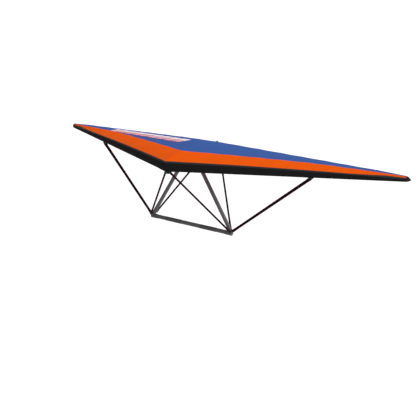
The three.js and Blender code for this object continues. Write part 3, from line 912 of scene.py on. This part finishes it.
# %% Batten tips
def batten_tip(x, side):
    y = trail_y(np.array(x)) - 0.004
    start = np.array([side * x, y, trail_z(np.array(x)) - 0.003])
    end = start + np.array([0, 0.02, -0.002])
    return turned([[0.0045, 0], [0.0060, 0.002], [0.0060, 0.011], [0.0048, 0.014], [0.0020, 0.0155]],
                  start, end, 14)


for name, side in SIDES.items():
    spots = BATTEN_FIRST + BATTEN_SPACING * np.arange(BATTENS)
    tips = joined_shells([batten_tip(x, side) for x in spots])
    add_bar(f"{name}_batten_tips", tips, "wing", moulded_nylon)
print("batten tips:", 2 * BATTENS)

# %% [markdown]
# ## Control frame
# The frame is two uprights and a base bar in one dark anodised alloy, joined by corner brackets and
# hung from knuckles that turn on the axle under the keel. The tubes could be curves with a bevel;
# here each is an oval carried along its axis, so that chord and thickness stay as the model says.

# %% Control frame
UP = (APEX - CORNER) / np.linalg.norm(APEX - CORNER)
PIVOT_AT = (PIVOT[2] - CORNER[2]) / UP[2]
UPRIGHT_TOP = PIVOT_AT - 0.074
SOCKET = 0.095
UPRIGHT_SIZE = (0.082, 0.078)
BAR_SIZE = (0.086, 0.084)
PLUG_SIZE = (0.070, 0.066)
CASTING_WALL = 0.005
KNUCKLE_X = (CORNER + UP * PIVOT_AT)[0]
AXLE_REACH = KNUCKLE_X + 0.058


def up_the_tube(distance, side):
    return at_side(CORNER + UP * distance, side)


def knuckle(side):
    """An eye with chamfered rims and an oval plug that goes down into the upright."""
    centre = at_side((KNUCKLE_X, PIVOT[1], PIVOT[2]), side)
    offset = np.array([0.028, 0, 0])
    rims = [[0.026, 0], [0.030, 0.003], [0.030, 0.053], [0.026, 0.056]]
    eye = turned(rims, centre - offset, centre + offset, 48)
    plug = round_bar(*PLUG_SIZE, up_the_tube(UPRIGHT_TOP + GAP, side), up_the_tube(PIVOT_AT, side), AFT)
    return joined_shells([eye, plug])


def corner_bracket(side):
    """A sleeve over the base bar's end and a socket for the upright, with rounded rims."""
    at = lambda x: np.array([side * x, CORNER[1], CORNER[2]])
    sleeve_size = np.array(BAR_SIZE) + 2 * CASTING_WALL
    socket_size = np.array(UPRIGHT_SIZE) + 2 * CASTING_WALL
    sleeve = round_bar(*sleeve_size, at(SLEEVE_INNER), at(SLEEVE_OUTER), AFT, 0.012)
    socket = round_bar(*socket_size, up_the_tube(0.006, side), up_the_tube(SOCKET, side), AFT, 0.003)
    return joined_shells([sleeve, socket])


def stay_plate(side):
    """An oval flange 7 mm thick round the socket, on top of the sleeve, that the stays end on."""
    low = np.array([side * 0.948, CORNER[1], CORNER[2] + 0.0465])
    return round_bar(0.142, 0.104, low, low + np.array([0, 0, 0.007]), AFT, 0.0015, 4)


axle_profile = [[0.011, -0.010], [0.014, -0.008], [0.014, 0], [0.008, 0], [0.008, 2 * AXLE_REACH],
                [0.014, 2 * AXLE_REACH], [0.014, 2 * AXLE_REACH + 0.008], [0.011, 2 * AXLE_REACH + 0.010]]
add_bar("fold_axle", turned(axle_profile, PIVOT - np.array([AXLE_REACH, 0, 0]), PIVOT, 32), "wing",
        stainless, ["apex_axle"])
bar_end = np.array([SLEEVE_INNER - GAP, 0, 0]) + np.array([0, CORNER[1], CORNER[2]])
add_bar("base_tube", round_bar(*BAR_SIZE, at_side(bar_end, -1), bar_end, AFT, 0.001, 40), "control_frame",
        dark_anodised, ["base_bar"])
for name, side in SIDES.items():
    add_bar(f"{name}_knuckle_eye", knuckle(side), "control_frame", dark_anodised,
            [f"{name}_knuckle"])
    tube = round_bar(*UPRIGHT_SIZE, up_the_tube(SOCKET + GAP, side), up_the_tube(UPRIGHT_TOP, side),
                     AFT, 0.001, 40)
    add_bar(f"{name}_upright_tube", tube, "control_frame", grey_anodised, [f"{name}_upright"])
    add_bar(f"{name}_corner_casting", corner_bracket(side), "control_frame", dark_anodised,
            [f"{name}_corner_bracket"])
    add_bar(f"{name}_stay_plate", stay_plate(side), "control_frame", dark_stainless)
    bolts = [bolt(np.array([side * x, CORNER[1] - BAR_SIZE[0] / 2 - 0.004, CORNER[2]]), -AFT, 0.006)
             for x in (SLEEVE_INNER + 0.03, SLEEVE_OUTER - 0.03)]
    add_bar(f"{name}_bracket_bolts", joined_shells(bolts), "control_frame", dark_stainless)
print("knuckles at x =", round(float(KNUCKLE_X), 4))

# %% [markdown]
# ## Grips
# The pilot holds the base bar through two sleeves of ribbed rubber. The ribs are a raised sine
# along the sleeve, 6 mm apart, deep enough to feel but not to see from far off.

# %% Grips
def grip(side):
    """Oval sleeve whose size grows by 0.6 mm times the squared sine of the place over the rib pitch."""
    start = np.array([side * 0.22, CORNER[1], CORNER[2]])
    end = np.array([side * 0.60, CORNER[1], CORNER[2]])
    places = np.linspace(0, 0.38, 191)
    ends = np.clip(np.minimum(places, 0.38 - places) / 0.004, 0, 1)
    grown = 0.0008 + ends * (0.0012 + 0.0008 * np.sin(np.pi * places / 0.006) ** 2)
    size = np.array(BAR_SIZE)[None, :] + 2 * grown[:, None]
    return shell(carried(oval(1, 1, 56)[None] * size[:, None, :], places, start, end, AFT))


for name, side in SIDES.items():
    add_bar(f"{name}_grip", grip(side), "control_frame", grip_rubber)
print("grips made")

# %% [markdown]
# ## Stays
# Six wires brace the frame: two forward to the nose catch, two aft to the tail of the keel and two
# out to the leading edges. Each is a rope of six strands under a dark coating, with a swaged steel
# ferrule at each end. The strands are ridges in the skin: the radius times one plus a twentieth of
# the cosine of six times the angle, which itself turns once for every lay of the rope. The front
# pair unhooks at the nose and folds away with the frame. The others join the wing to the frame,
# so they are left out of both bodies and stay fixed at both ends.

# %% Stays
LAY = 0.16
FERRULE = 0.075
STAY_RADIUS = 0.019
SIDE_STAY_TOP = (2.392, 1.223, -0.305)
SIDE_STAY_RADII = (0.031, 0.026)


def rope(start, end, first, last, count=30):
    length = np.linalg.norm(end - start)
    s = np.linspace(0, length, int(length / 0.012) + 2)
    angle = np.linspace(0, 2 * np.pi, count, endpoint=False)
    ridge = 1 + 0.05 * np.cos(6 * (angle[None, :] - 2 * np.pi * s[:, None] / LAY))
    radius = (first + (last - first) * s / length)[:, None] * ridge
    outline = np.stack([radius * np.cos(angle), radius * np.sin(angle)], axis=-1)
    return shell(carried(outline, s, start, end, AFT))


def ferrule(place, towards, radius):
    """A swaged sleeve with tapered shoulders over the rope's first 75 mm."""
    taper = [[radius + 0.0008, 0.0], [radius + 0.0030, 0.003], [radius + 0.0035, 0.008],
             [radius + 0.0035, FERRULE - 0.012], [radius + 0.0012, FERRULE]]
    return turned(taper, place, towards, 32)


def add_stay(name, start, end, first, last, replaced, body=None):
    wire = add_bar(f"{name}_wire", rope(start, end, first, last), body, wire_coating,
                   [replaced])
    sleeves = joined_shells([ferrule(start, end, first), ferrule(end, start, last)])
    ends = add_bar(f"{name}_ferrules", sleeves, body, dark_ferrule)
    return wire, ends


for name, side in SIDES.items():
    front_top = np.array([side * (KEEL_RADIUS + 0.021), KEEL_START[1] + 0.045, KEEL_START[2] + 0.002])
    front_foot = np.array([side * 0.945, CORNER[1] - 0.062, CORNER[2] + 0.056])
    add_stay(f"{name}_front", front_top, front_foot, STAY_RADIUS, STAY_RADIUS, f"{name}_front_stay",
             "control_frame")
    rear_top = np.array([side * (KEEL_RADIUS + 0.023), KEEL_END[1] - 0.040, KEEL_END[2] - 0.002])
    rear_foot = np.array([side * 0.897, CORNER[1] + 0.062, CORNER[2] + 0.056])
    side_top = at_side(SIDE_STAY_TOP, side)
    side_foot = np.array([side * (SLEEVE_OUTER + 0.014), CORNER[1] - 0.010, CORNER[2] + 0.066])
    rear = add_stay(f"{name}_rear", rear_top, rear_foot, STAY_RADIUS, STAY_RADIUS, f"{name}_rear_stay")
    outer = add_stay(f"{name}_side", side_top, side_foot, *SIDE_STAY_RADII, f"{name}_side_stay")
    for piece in rear:
        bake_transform(piece)
    for piece in outer:
        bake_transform(piece)
print("stays made, pieces so far:", len(pieces_made))

# %% [markdown]
# ## Floor and light
# The glider stands on a plain pale floor under an even white sky, with one soft sun on the
# pilot's left, so that tubes get a bright side. The floor glows faintly, as a lit studio sweep does,
# and keeps the shadow under the wing light.

# %% Floor, light and closing lines
def add_stage():
    size = 60.0
    data = bpy.data.meshes.new("floor")
    corners = [(-size, -size, 0), (size, -size, 0), (size, size, 0), (-size, size, 0)]
    data.from_pydata(corners, [], [(0, 1, 2, 3)])
    floor = bpy.data.objects.new("floor", data)
    bpy.context.scene.collection.objects.link(floor)
    material, _ = new_material("pale_floor", Roughness=0.95, Base_Color=(0.25, 0.25, 0.25, 1.0),
                               Emission_Color=(1.0, 1.0, 1.0, 1.0), Emission_Strength=1.0)
    data.materials.append(material)


SUN_FROM = np.array([0.85, 0.10, 0.52])
SUN_ENERGY = 2.0
SKY_STRENGTH = 0.55


def add_light():
    world = bpy.data.worlds.new("studio")
    world.use_nodes = True
    world.node_tree.nodes["Background"].inputs["Color"].default_value = (1.0, 1.0, 1.0, 1.0)
    world.node_tree.nodes["Background"].inputs["Strength"].default_value = SKY_STRENGTH
    bpy.context.scene.world = world
    sun = bpy.data.lights.new("key", "SUN")
    sun.energy = SUN_ENERGY
    sun.angle = math.radians(20)
    lamp = bpy.data.objects.new("key", sun)
    towards = Vector((TURN @ SUN_FROM).tolist())
    lamp.rotation_euler = towards.to_track_quat("Z", "Y").to_euler()
    bpy.context.scene.collection.objects.link(lamp)


add_stage()
add_light()
bpy.context.scene.view_settings.view_transform = "Standard"
